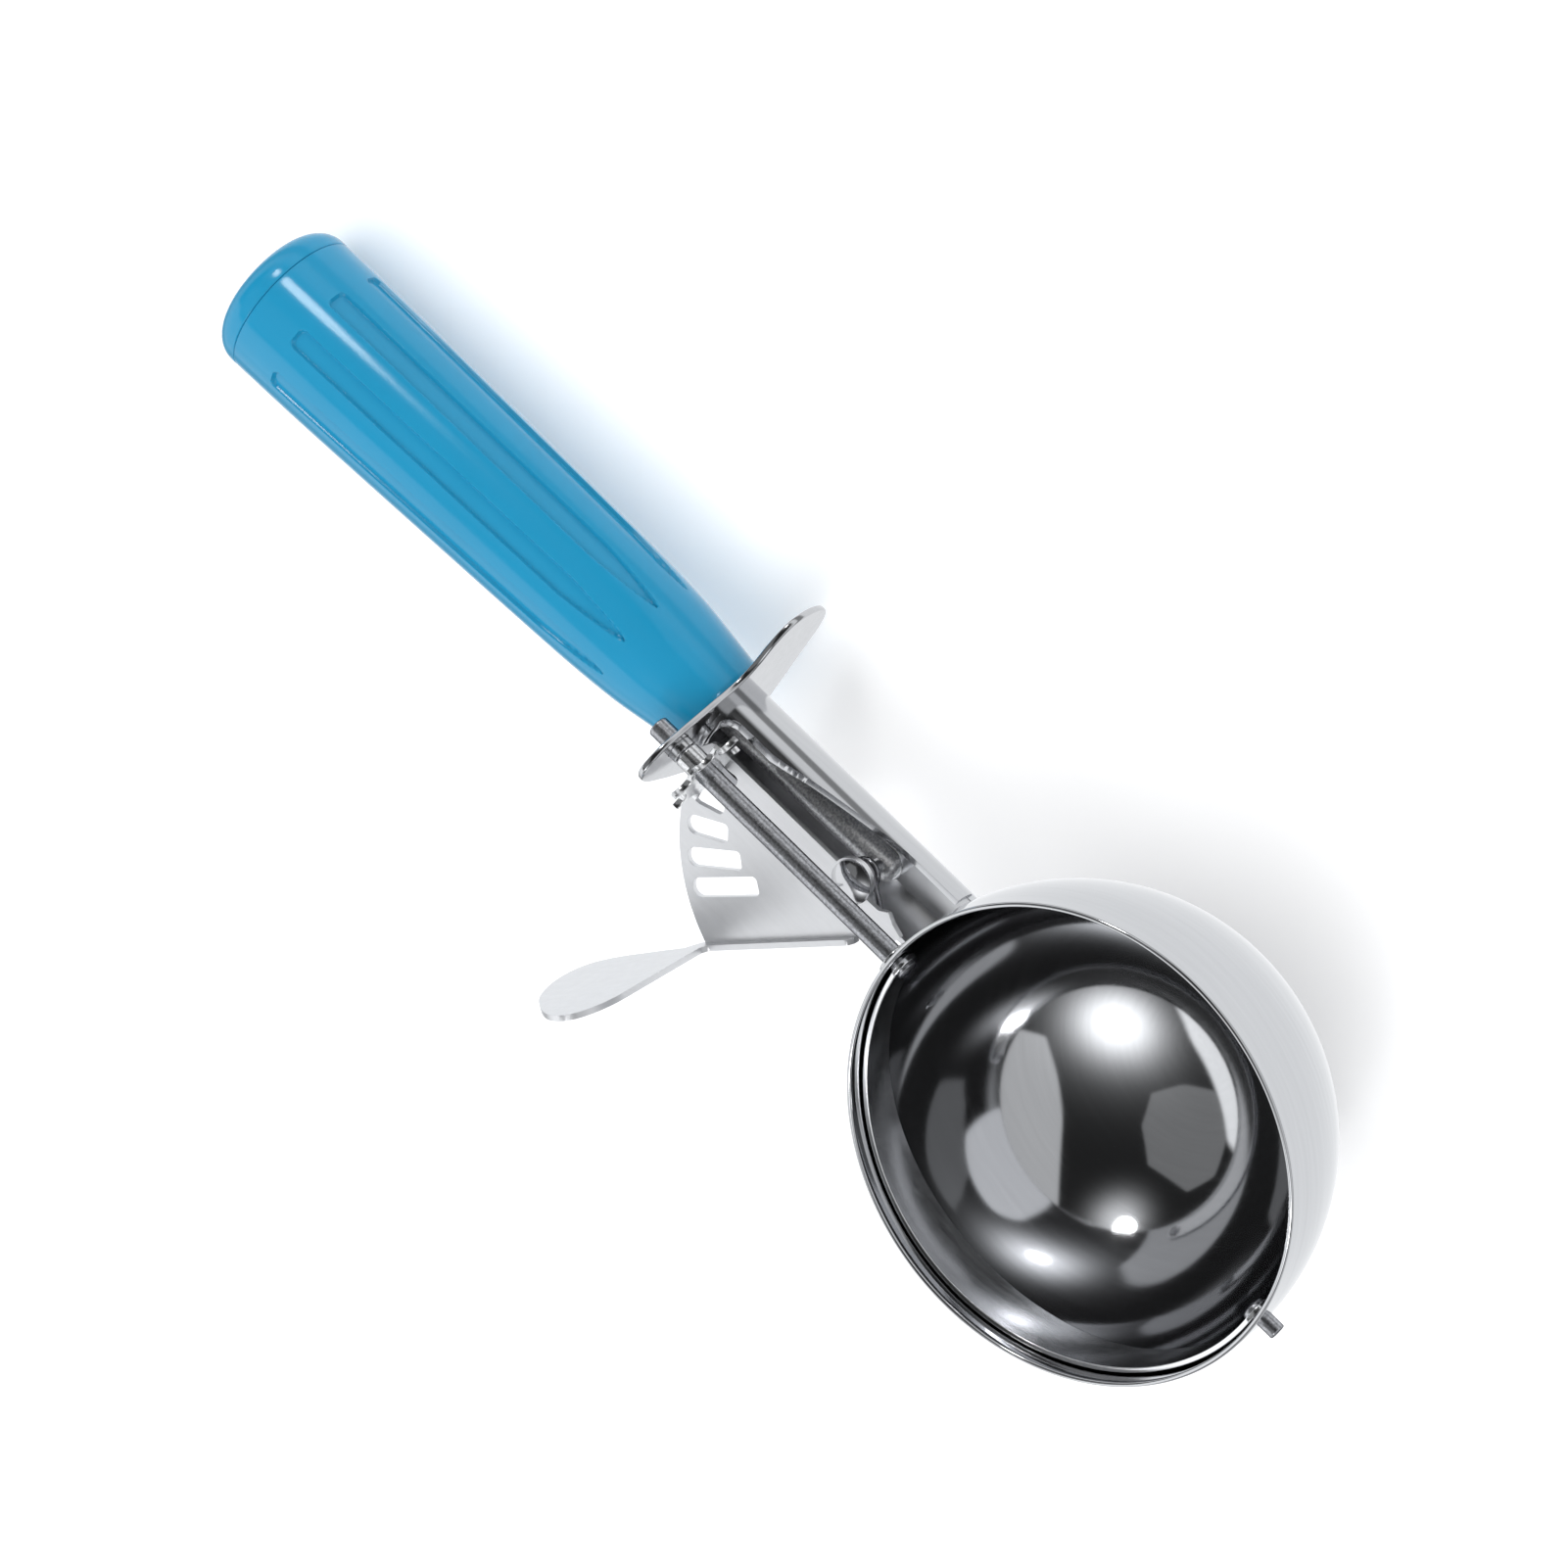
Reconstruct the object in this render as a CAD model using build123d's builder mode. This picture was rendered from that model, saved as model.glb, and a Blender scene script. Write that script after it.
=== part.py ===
from build123d import *
import os
from math import sin, cos, radians, sqrt

os.makedirs("parts", exist_ok=True)

# Ice cream scoop (thumb lever disher), millimetres.
# Working frame while modelling: origin at the centre of the bowl's sphere, +X along the blade
# shaft towards the handle, +Y towards the thumb lever, +Z out of the bowl's mouth.
# At the end every piece is set down on the table: pitched until the bowl's bottom and the
# handle's end both touch z = 0, with the middle of the footprint at x = y = 0.

# ---------------------------------------------------------------- driving dimensions
BOWL_RO = 43.1          # outer radius of the bowl
BOWL_T = 0.9            # sheet of the bowl
BOWL_RI = BOWL_RO - BOWL_T
RIM_Z = 5.0             # straight lip above the sphere's centre

SHAFT_R = 1.95          # blade shaft
SHAFT_END = 101.5       # free end, past the guard plate
RUN = 0.05              # radial running clearance

BLADE_RO = 41.85        # scraper blade, outer and inner radius
BLADE_T = 0.9
BLADE_RI = BLADE_RO - BLADE_T
BLADE_HALF = 4.9        # half width in the middle
BLADE_END = 2.7         # half width at the ears
BLADE_REST = 4.25       # angle of the blade's middle below +Y at rest, degrees

PIVOT_X = 59.0          # lever pivot
PLATE_TOP = -6.5        # lever plate, upper face
PLATE_T = 1.1
SECTOR_R = 36.0         # outer edge of the sector
MESH_R = 30.5           # where the pinion works in the windows
WINDOW_PITCH = 10.5     # degrees between windows
FIRST_WINDOW = 6.2      # angle of the first window at rest, degrees
WINDOW_W = 3.6
TEETH = 8               # teeth of the pinion: 45 deg per tooth for 10.5 deg of lever
PINION_TIP = 8.0
GULLET_C = 7.9          # centres and radius of the gullets
GULLET_R = 2.72
PINION_X = 88.9
PINION_T = 1.2

EDGE_DIR = 48.7         # direction of the lever's folded edge, degrees
CORNER = 64.5           # angle of the lever's corner seen from the pivot, degrees

GUARD_X = 96.0          # guard plate, face towards the bowl
GUARD_T = 1.2

SHANK_R = 7.8           # half round channel between bowl and guard
SHANK_T = 1.0
SHANK_Z = -15.0         # height of its centre
SHANK_FLAT = -21.6      # flat underside

TANG_R = 2.75           # rod that carries the handle
NOSE_X, NOSE_R = 58.9, 3.4
SLOT_END = 95.1         # the slot in the top of the shank stops here, clear of the sector
TILT = 1.6              # the handle's axis rises this much, degrees
HANDLE_X, HANDLE_Z = 97.2, -15.9
SEAM = 109.4            # length of the grip up to the cap's seam
HANDLE_R = 14.45        # largest radius

REST_PITCH = 4.382      # degrees the handle's end drops when the scoop lies on a table
SET_DOWN = (-82.735, -2.925, BOWL_RO)

# ---------------------------------------------------------------- planes
AXIS_DIR = (cos(radians(TILT)), 0, sin(radians(TILT)))
HANDLE_O = (HANDLE_X, 0, HANDLE_Z)
handle_side = Plane(origin=HANDLE_O, x_dir=AXIS_DIR, z_dir=(0, -1, 0))


def handle_across(x):
    """Plane across the handle, x along its axis from the guard."""
    o = tuple(HANDLE_O[i] + AXIS_DIR[i] * x for i in range(3))
    return Plane(origin=o, x_dir=(0, 1, 0), z_dir=AXIS_DIR)


def handle_radial(angle):
    """Plane through the handle's axis; its y direction points outwards at this angle from +Y."""
    a, t = radians(angle), radians(TILT)
    up = (-sin(t) * sin(a), cos(a), cos(t) * sin(a))
    n = (
        AXIS_DIR[1] * up[2] - AXIS_DIR[2] * up[1],
        AXIS_DIR[2] * up[0] - AXIS_DIR[0] * up[2],
        AXIS_DIR[0] * up[1] - AXIS_DIR[1] * up[0],
    )
    return Plane(origin=HANDLE_O, x_dir=AXIS_DIR, z_dir=n)


def polar(r, deg, cx=0.0, cy=0.0):
    return (cx + r * cos(radians(deg)), cy + r * sin(radians(deg)))


# ---------------------------------------------------------------- bowl
with BuildPart() as bowl:
    with BuildSketch(Plane.XZ):
        with BuildLine():
            CenterArc((0, 0), BOWL_RO, -90, 90)
            Line((BOWL_RO, 0), (BOWL_RO, RIM_Z))
            Line((BOWL_RO, RIM_Z), (BOWL_RI, RIM_Z))
            Line((BOWL_RI, RIM_Z), (BOWL_RI, 0))
            CenterArc((0, 0), BOWL_RI, -90, 90)
            Line((0, -BOWL_RI), (0, -BOWL_RO))
        make_face()
    revolve(axis=Axis.Z)
    fillet(bowl.edges().filter_by(GeomType.CIRCLE).group_by(Axis.Z)[-1], 0.25)
    # holes for the shaft's bush and for the far pin
    with BuildSketch(Plane.YZ.offset(38)):
        Circle(2.6)
    extrude(amount=8, mode=Mode.SUBTRACT)
    with BuildSketch(Plane.YZ.offset(-46)):
        Circle(1.5 + RUN)
    extrude(amount=8, mode=Mode.SUBTRACT)

# ---------------------------------------------------------------- scraper blade
br = radians(BLADE_REST)
blade_plane = Plane(origin=(0, 0, 0), x_dir=(1, 0, 0), z_dir=(0, cos(br), -sin(br)))
with BuildPart() as blade:
    with BuildSketch(blade_plane):
        with BuildLine():
            ThreePointArc((-43, BLADE_END), (0, BLADE_HALF), (43, BLADE_END))
            Line((43, BLADE_END), (43, -BLADE_END))
            ThreePointArc((43, -BLADE_END), (0, -BLADE_HALF), (-43, -BLADE_END))
            Line((-43, -BLADE_END), (-43, BLADE_END))
        make_face()
    extrude(amount=44)
    # round ears about the shaft's axis
    with BuildSketch(Plane.YZ.offset(-43)):
        Circle(BLADE_END)
    extrude(amount=86)
    # only what lies in the thin spherical skin stays
    Sphere(BLADE_RO, rotation=(0, 0, -90), mode=Mode.INTERSECT)
    Sphere(BLADE_RI, rotation=(0, 0, -90), mode=Mode.SUBTRACT)
    with BuildSketch(Plane.YZ.offset(-43)):
        Circle(1.2)
    extrude(amount=86, mode=Mode.SUBTRACT)

# ---------------------------------------------------------------- blade shaft and far pin
with BuildPart() as blade_shaft:
    with BuildSketch(Plane.XZ):
        with BuildLine():
            Polyline(
                (40.0, 0), (40.0, 1.2), (40.35, 1.9), (40.88, 1.9), (40.88, 1.2),
                (BLADE_RO, 1.2), (BLADE_RO, SHAFT_R), (SHAFT_END - 0.35, SHAFT_R),
                (SHAFT_END, SHAFT_R - 0.35), (SHAFT_END, 0), (40.0, 0),
            )
        make_face()
    revolve(axis=Axis.X)

with BuildPart() as far_pin:
    with BuildSketch(Plane.XZ):
        with BuildLine():
            Polyline(
                (-45.9, 0), (-45.9, 1.2), (-45.6, 1.5), (-BLADE_RO, 1.5), (-BLADE_RO, 1.2),
                (-40.88, 1.2), (-40.88, 2.2), (-40.35, 2.0), (-39.9, 1.3), (-39.9, 0), (-45.9, 0),
            )
        make_face()
    revolve(axis=Axis.X)

# ---------------------------------------------------------------- pinion and its hub
first_tooth = -90 + FIRST_WINDOW * 45 / WINDOW_PITCH
with BuildPart() as pinion:
    with BuildSketch(Plane.YZ.offset(PINION_X)):
        Circle(PINION_TIP)
        # round gullets leave pointed teeth
        for k in range(TEETH):
            with Locations(polar(GULLET_C, first_tooth + 45 * k + 22.5)):
                Circle(GULLET_R, mode=Mode.SUBTRACT)
        Circle(SHAFT_R, mode=Mode.SUBTRACT)
    extrude(amount=PINION_T)

with BuildPart() as pinion_hub:
    with BuildSketch(Plane.YZ.offset(PINION_X + PINION_T)):
        Circle(2.45)
        Circle(SHAFT_R, mode=Mode.SUBTRACT)
    extrude(amount=4.1)
    chamfer(pinion_hub.edges().filter_by(GeomType.CIRCLE).group_by(Axis.X)[-1].sort_by(SortBy.LENGTH)[-1:], 0.3)

# ---------------------------------------------------------------- thumb lever
corner = polar(SECTOR_R, CORNER, PIVOT_X, 0)
ed = (cos(radians(EDGE_DIR)), sin(radians(EDGE_DIR)))
lobe = (corner[0] - 33.0 * ed[0], corner[1] - 33.0 * ed[1])
# windows: number, inner end, outer end (radius from the pivot), twist from radial
windows = [(0, 26.9, 33.9, 0.0), (1, 27.4, 34.2, 2.5), (2, 25.8, 34.4, 3.5), (3, 23.0, 34.4, 3.5), (4, 20.2, 34.4, -1.2)]
lever_edge = Plane(
    origin=(corner[0], corner[1], PLATE_TOP),
    x_dir=(ed[0], ed[1], 0),
    z_dir=(ed[1], -ed[0], 0),
)
with BuildPart() as lever:
    with BuildSketch(Plane.XY.offset(PLATE_TOP - PLATE_T)):
        with BuildLine():
            start = polar(SECTOR_R, 3.0, PIVOT_X, 0)
            CenterArc((PIVOT_X, 0), SECTOR_R, 3.0, CORNER - 3.0)
            Line(corner, lobe)
            ThreePointArc(lobe, (48.5, 5.0), (46.4, 1.4))
            Polyline((46.4, 1.4), (48.8, 0.5))
            Spline((48.8, 0.5), (50.6, -0.6), (52.4, 0.5), tangents=((1, 0), (1, 0)))
            Polyline((52.4, 0.5), (56.5, 0.5), (60.0, -0.9), (92.6, -0.9), start)
        make_face()
        with Locations((PIVOT_X + 0.25, -0.15)):
            Circle(4.1)
        with Locations((PIVOT_X, 0)):
            Circle(2.7, mode=Mode.SUBTRACT)
        for n, r0, r1, twist in windows:
            a = FIRST_WINDOW + WINDOW_PITCH * n
            rm = (r0 + r1) / 2
            with Locations(polar(rm, a, PIVOT_X, 0)):
                SlotOverall(r1 - r0, WINDOW_W, rotation=a + twist, mode=Mode.SUBTRACT)
            # the inner end is squarer than the outer one
            half = (r1 - r0) / 4
            c = polar(rm, a, PIVOT_X, 0)
            c = polar(-half, a + twist, c[0], c[1])
            with Locations(c):
                RectangleRounded(2 * half, WINDOW_W, 0.9, rotation=a + twist, mode=Mode.SUBTRACT)
    extrude(amount=PLATE_T)
    # folded edge and thumb tab, one upright sheet just outside the plate's straight edge
    with BuildSketch(lever_edge):
        with BuildLine():
            e1 = Polyline(
                (-0.7, 12.0), (-0.7, 2.6), (-1.5, 1.5), (-31.6, 1.5), (-32.6, 0.5), (-32.6, -PLATE_T),
                (-0.4, -PLATE_T), (1.2, -0.2), (3.0, 2.3),
            )
            Spline(
                (3.0, 2.3), (9.5, 4.0), (15.6, 6.0), (19.5, 9.0), (20.9, 13.6), (20.3, 19.5),
                (17.6, 26.0), (13.0, 31.6), (8.6, 35.2), (4.6, 36.0), (1.4, 33.6), (-0.4, 28.0), (-0.7, 20.0),
                tangents=((0.95, 0.31), (0, -1)),
            )
            Line((-0.7, 20.0), (-0.7, 12.0))
        make_face()
    extrude(amount=-PLATE_T)

with BuildPart() as lever_bush:
    with BuildSketch(Plane.XY.offset(-8.1)):
        with Locations((PIVOT_X, 0)):
            Circle(3.4)
            Circle(1.9 + RUN, mode=Mode.SUBTRACT)
    extrude(amount=0.5)
    with BuildSketch(Plane.XY.offset(-7.6)):
        with Locations((PIVOT_X, 0)):
            Circle(2.7)
            Circle(1.9 + RUN, mode=Mode.SUBTRACT)
    extrude(amount=PLATE_T)

# ---------------------------------------------------------------- lever rivet
pivot_side = Plane(origin=(PIVOT_X, 0, 0), x_dir=(1, 0, 0), z_dir=(0, -1, 0))
pivot_axis = Axis((PIVOT_X, 0, 0), (0, 0, 1))
with BuildPart() as lever_rivet:
    with BuildSketch(pivot_side):
        with BuildLine():
            # bottom head, thin shank, collar under the lever, journal, domed head
            Polyline(
                (0, -22.7), (1.7, -22.6), (2.6, -22.2), (2.9, -21.6), (1.5, -21.6), (1.5, -8.65), (2.9, -8.65),
                (2.9, -8.15), (1.9, -8.15), (1.9, -6.4), (3.95, -6.4), (3.85, -6.05), (3.2, -5.5), (2.2, -5.1), (1.2, -4.9),
                (0, -4.85), (0, -22.7),
            )
        make_face()
    revolve(axis=pivot_axis)

# ---------------------------------------------------------------- return spring
WIRE = 0.6
COIL_R = 2.5
COIL_TURNS = 1.3625
COIL_PITCH = 1.4
COIL_TOP = -9.35
coil_low = COIL_TOP - COIL_TURNS * COIL_PITCH
with BuildPart() as spring:
    with BuildLine() as coil:
        Helix(
            pitch=COIL_PITCH, height=COIL_TURNS * COIL_PITCH, radius=COIL_R, center=(PIVOT_X, 0, coil_low), lefthand=True,
        )
    with BuildSketch(Plane(origin=coil.line @ 0, z_dir=coil.line % 0)):
        Circle(WIRE)
    sweep(path=coil.line, is_frenet=True)
    # one leg against the shank's far wall
    a0 = coil.line @ 0
    with BuildLine() as leg_a:
        Line(a0, (a0.X, 6.0, a0.Z))
    with BuildSketch(Plane(origin=a0, z_dir=leg_a.line % 0)):
        Circle(WIRE)
    sweep(path=leg_a.line)
    # the other under the lever's tail
    b0 = coil.line @ 1
    bx, by = cos(radians(139.5)), sin(radians(139.5))
    with BuildLine() as leg_b:
        FilletPolyline(
            b0, (b0.X + 4.2 * bx, b0.Y + 4.2 * by, b0.Z), (b0.X + 7.4 * bx, b0.Y + 7.4 * by, b0.Z + 0.45), radius=3.0,
        )
    with BuildSketch(Plane(origin=b0, z_dir=leg_b.line % 0)):
        Circle(WIRE)
    sweep(path=leg_b.line)

# ---------------------------------------------------------------- shank
with BuildPart() as shank:
    def section(r, floor):
        Circle(r)
        with Locations((0, floor - SHANK_Z - 10)):
            Rectangle(40, 20, mode=Mode.SUBTRACT)

    across = Plane(origin=(34, 0, SHANK_Z), x_dir=(0, 1, 0), z_dir=(1, 0, 0))
    with BuildSketch(across):
        section(SHANK_R, SHANK_FLAT)
    extrude(amount=GUARD_X - 34)
    with BuildSketch(across):
        section(SHANK_R - SHANK_T, SHANK_FLAT + SHANK_T)
    extrude(amount=GUARD_X - 34, mode=Mode.SUBTRACT)
    # the slot widens from the guard towards the bowl
    with BuildSketch(Plane.XZ):
        with BuildLine():
            Line((SLOT_END, 0), (SLOT_END, -7.8))
            Spline((SLOT_END, -7.8), (94.35, -8.75), (91.9, -9.5), tangents=((0, -1), (-1, 0)))
            Line((91.9, -9.5), (84, -9.5))
            Spline((84, -9.5), (76, -10.7), (68, -11.85), (60, -12.95), (54, -13.4), tangents=((-1, 0), (-1, 0)))
            Polyline((54, -13.4), (43.6, -13.4), (43.6, -18.0), (30, -18.0), (30, 0), (SLOT_END, 0))
        make_face()
    extrude(amount=20, both=True, mode=Mode.SUBTRACT)
    # the end sits on the bowl
    Sphere(BOWL_RO + 0.02, mode=Mode.SUBTRACT)
    with BuildSketch(Plane.XY.offset(-24)):
        with Locations((PIVOT_X, 0)):
            Circle(1.5)
    extrude(amount=6, mode=Mode.SUBTRACT)

# ---------------------------------------------------------------- tang rod and its saddle
with BuildPart() as tang_rod:
    with BuildSketch(handle_across(-41.0)):
        Circle(TANG_R)
    extrude(amount=41.0 + 107.0)
    fillet(tang_rod.edges().filter_by(GeomType.CIRCLE).sort_by(Axis.X)[0], 2.3)
    chamfer(tang_rod.edges().filter_by(GeomType.CIRCLE).sort_by(Axis.X)[-1], 0.4)
    with BuildSketch(Plane.XY.offset(-24)):
        with Locations((PIVOT_X, 0)):
            Circle(1.5)
    extrude(amount=14, mode=Mode.SUBTRACT)

with BuildPart() as tang_saddle:
    # a pocket with a round nose holds the rod up to its middle
    with BuildSketch(Plane.XY.offset(SHANK_FLAT + SHANK_T)):
        with Locations((NOSE_X, 0)):
            Circle(NOSE_R)
        with Locations(((NOSE_X + 90) / 2, 0)):
            Rectangle(90 - NOSE_X, 2 * NOSE_R)
    extrude(amount=8)
    with BuildSketch(handle_side):
        with Locations((-20, 10)):
            Rectangle(80, 20)
    extrude(amount=20, both=True, mode=Mode.SUBTRACT)
    with BuildSketch(handle_across(-41.0)):
        Circle(TANG_R)
    extrude(amount=60, mode=Mode.SUBTRACT)
    with BuildSketch(Plane.XY.offset(-24)):
        with Locations((PIVOT_X, 0)):
            Circle(1.5)
    extrude(amount=14, mode=Mode.SUBTRACT)

# ---------------------------------------------------------------- guard plate
guard_outline = [
    (10.9, -8.0), (12.0, -14.5), (9.4, -22.4), (3.2, -26.3), (-3.8, -27.2), (-11.5, -28.0), (-18.4, -28.6),
    (-22.8, -26.9), (-24.6, -22.0), (-23.6, -16.6), (-19.8, -13.6), (-15.0, -12.0), (-11.4, -9.6),
    (-8.2, -4.6), (-4.6, 1.2), (-1.2, 6.0), (3.2, 8.0), (6.8, 5.2), (9.2, -1.5),
]
with BuildPart() as guard:
    with BuildSketch(Plane.YZ.offset(GUARD_X)):
        with BuildLine():
            Spline(*guard_outline, periodic=True)
        make_face()
        Circle(2.45, mode=Mode.SUBTRACT)
        with Locations((0, HANDLE_Z)):
            Circle(TANG_R + 0.1, mode=Mode.SUBTRACT)
    extrude(amount=GUARD_T)

# ---------------------------------------------------------------- bushes
with BuildPart() as guard_bush:
    with BuildSketch(Plane.YZ.offset(94.4)):
        Circle(2.45)
        Circle(SHAFT_R + RUN, mode=Mode.SUBTRACT)
    extrude(amount=3.0)

with BuildPart() as bowl_bush:
    with BuildSketch(Plane.YZ.offset(42.15)):
        Circle(2.6)
        Circle(SHAFT_R + RUN, mode=Mode.SUBTRACT)
    extrude(amount=1.8)
    with BuildSketch(Plane.YZ.offset(43.15)):
        Circle(3.3)
        Circle(SHAFT_R + RUN, mode=Mode.SUBTRACT)
    extrude(amount=0.8)

# ---------------------------------------------------------------- handle
grip_line = [(-0.8, 9.25), (4.0, 9.95), (9.2, 10.75), (16.5, 11.75), (27.3, 12.5), (42, 13.0), (53, 13.3), (93, 14.3), (SEAM, HANDLE_R)]
with BuildPart() as grip:
    with BuildSketch(handle_side):
        with BuildLine():
            Spline(*grip_line)
            Polyline((SEAM, HANDLE_R), (SEAM, 6.5), (101.5, 6.5), (101.5, TANG_R + 0.05), (-0.8, TANG_R + 0.05), (-0.8, 9.25))
        make_face()
    revolve(axis=Axis(HANDLE_O, AXIS_DIR))
    # nine shallow flutes, square at the far end and running out to a point near the guard
    for k in range(9):
        with BuildSketch(handle_radial(273.5 + 40 * k)):
            with BuildLine():
                Polyline(
                    (100.1, 17), (98.9, 13.72), (93, 13.55), (53, 12.55), (42, 12.25), (32, 11.98), (26, 11.92),
                    (19.2, 12.02), (19.2, 17), (100.1, 17),
                )
            make_face()
        extrude(amount=2.0, both=True, mode=Mode.SUBTRACT)
    split(bisect_by=Plane.YZ.offset(HANDLE_X), keep=Keep.TOP)

with BuildPart() as end_cap:
    with BuildSketch(handle_side):
        with BuildLine():
            Line((SEAM, 0), (SEAM, HANDLE_R - 0.2))
            Line((SEAM, HANDLE_R - 0.2), (SEAM + 0.2, HANDLE_R))
            Line((SEAM + 0.2, HANDLE_R), (SEAM + 1.5, HANDLE_R))
            Spline((SEAM + 1.5, HANDLE_R), (SEAM + 4.6, 12.9), (SEAM + 5.9, 9.5), tangents=((1, 0), (0, -1)))
            Line((SEAM + 5.9, 9.5), (SEAM + 5.9, 0))
            Line((SEAM + 5.9, 0), (SEAM, 0))
        make_face()
    revolve(axis=Axis(HANDLE_O, AXIS_DIR))
    with BuildSketch(handle_across(SEAM - 1.8)):
        Circle(6.45)
    extrude(amount=1.8)

with BuildPart() as tang_washer:
    with BuildSketch(handle_across(101.5)):
        Circle(5.6)
        Circle(TANG_R + 0.05, mode=Mode.SUBTRACT)
    extrude(amount=1.0)

with BuildPart() as tang_nut:
    with BuildSketch(handle_across(102.5)):
        RegularPolygon(radius=4.0, side_count=6, major_radius=False)
        Circle(TANG_R, mode=Mode.SUBTRACT)
    extrude(amount=3.5)

# ---------------------------------------------------------------- set down and write
set_down = Location(SET_DOWN, (0, REST_PITCH, 0))
pieces = {
    "bowl": bowl,
    "scraper_blade": blade,
    "blade_shaft": blade_shaft,
    "blade_far_pin": far_pin,
    "pinion": pinion,
    "pinion_hub": pinion_hub,
    "thumb_lever": lever,
    "lever_bush": lever_bush,
    "lever_rivet": lever_rivet,
    "return_spring": spring,
    "shank": shank,
    "tang_rod": tang_rod,
    "tang_saddle": tang_saddle,
    "guard_plate": guard,
    "guard_bush": guard_bush,
    "bowl_bush": bowl_bush,
    "handle_grip": grip,
    "handle_end_cap": end_cap,
    "tang_washer": tang_washer,
    "tang_nut": tang_nut,
}
for label, made in pieces.items():
    body = made.part.moved(set_down)
    body.label = label
    export_step(body, f"parts/{label}.step")
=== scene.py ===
import bpy
import bmesh
from math import sin, cos, tan, radians, degrees, pi, sqrt, atan2, asin, acos, hypot, floor
from mathutils import Matrix, Vector


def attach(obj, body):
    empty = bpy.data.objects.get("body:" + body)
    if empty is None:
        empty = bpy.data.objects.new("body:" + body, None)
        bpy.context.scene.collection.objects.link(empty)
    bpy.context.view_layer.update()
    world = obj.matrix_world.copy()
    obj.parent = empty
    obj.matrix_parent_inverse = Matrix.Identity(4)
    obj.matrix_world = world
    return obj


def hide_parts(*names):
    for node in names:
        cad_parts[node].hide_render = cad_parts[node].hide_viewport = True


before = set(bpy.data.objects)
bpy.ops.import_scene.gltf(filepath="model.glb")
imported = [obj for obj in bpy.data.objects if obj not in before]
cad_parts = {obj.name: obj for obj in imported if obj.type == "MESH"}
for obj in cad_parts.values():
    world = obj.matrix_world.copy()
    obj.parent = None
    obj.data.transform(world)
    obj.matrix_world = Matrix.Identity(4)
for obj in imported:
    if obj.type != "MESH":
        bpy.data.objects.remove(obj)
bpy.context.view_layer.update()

# The pieces are drawn in the scoop's working frame, in millimetres: origin at the centre of the
# bowl's sphere, +X along the blade shaft to the handle, +Y to the thumb lever, +Z out of the mouth.
# TO_REST sets them down on the table, in metres.
PITCH = radians(4.382)
SET_DOWN = Vector((-82.735, -2.925, 43.1))
TURN = Matrix.Rotation(PITCH, 4, "Y")
TO_REST = Matrix.Translation(SET_DOWN * 0.001) @ TURN @ Matrix.Scale(0.001, 4)

BOWL_RO, BOWL_RI, RIM_Z = 43.1, 42.2, 5.0
SHAFT_R, SHAFT_END = 1.95, 101.5
BLADE_RO, BLADE_RI, BLADE_HALF, BLADE_END, BLADE_REST = 41.85, 40.95, 4.9, 2.7, 4.25
PIVOT_X, PLATE_TOP, PLATE_T, SECTOR_R = 59.0, -6.5, 1.1, 36.0
GUARD_X, GUARD_T = 96.0, 1.2
SHANK_R, SHANK_T, SHANK_Z, SHANK_FLAT, SLOT_END = 7.8, 1.0, -15.0, -21.6, 95.1
TANG_R, TILT = 2.75, radians(1.6)
HANDLE_X, HANDLE_Z, SEAM, HANDLE_R = 97.2, -15.9, 109.4, 14.45
HANDLE_AX = Matrix.Translation((HANDLE_X, 0, HANDLE_Z)) @ Matrix.Rotation(-TILT, 4, "Y")


# ---------------------------------------------------------------- camera at the photo's angle
def camera():
    right = Vector((-0.6964860, -0.4453257, -0.5626653))
    down = Vector((-0.6780195, 0.6651475, 0.3128392))
    ahead = Vector((0.2349401, 0.5993862, -0.7652054))
    t = Vector((48.95497, 58.72583, 796.33661))
    place = -(right * t.x + down * t.y + ahead * t.z)
    axes = Matrix((right, -down, -ahead)).transposed().to_4x4()
    data = bpy.data.cameras.new("camera")
    data.sensor_width = 36.0
    data.lens = 36.0 * 4888.21 / 1601
    data.clip_start, data.clip_end = 0.05, 30.0
    cam = bpy.data.objects.new("camera", data)
    bpy.context.scene.collection.objects.link(cam)
    cam.matrix_world = Matrix.Translation(TO_REST @ place) @ TURN @ axes
    bpy.context.scene.camera = cam


camera()


# ---------------------------------------------------------------- mesh helpers
def mesh_from(name, verts, faces):
    me = bpy.data.meshes.new(name)
    me.from_pydata([tuple(v) for v in verts], [], faces)
    me.update()
    return me


def tidy(me):
    bm = bmesh.new()
    bm.from_mesh(me)
    bmesh.ops.remove_doubles(bm, verts=bm.verts, dist=1e-5)
    bmesh.ops.dissolve_degenerate(bm, edges=bm.edges, dist=1e-5)
    bmesh.ops.recalc_face_normals(bm, faces=bm.faces)
    bm.to_mesh(me)
    bm.free()
    return me


def piece(name, me, body, mat, nodes=(), angle=35.0, weighted=True):
    """A mesh drawn in the working frame becomes a piece that rides on a body."""
    me.transform(TO_REST)
    me.update()
    me.polygons.foreach_set("use_smooth", [True] * len(me.polygons))
    if angle is not None:
        me.set_sharp_from_angle(angle=radians(angle))
    me.materials.clear()
    me.materials.append(mat)
    ob = bpy.data.objects.new(name, me)
    bpy.context.scene.collection.objects.link(ob)
    if weighted:
        m = ob.modifiers.new("weighted", "WEIGHTED_NORMAL")
        m.mode = "FACE_AREA"
        m.keep_sharp = True
        m.weight = 60
    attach(ob, body)
    if nodes:
        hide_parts(*nodes)
    return ob


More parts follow.
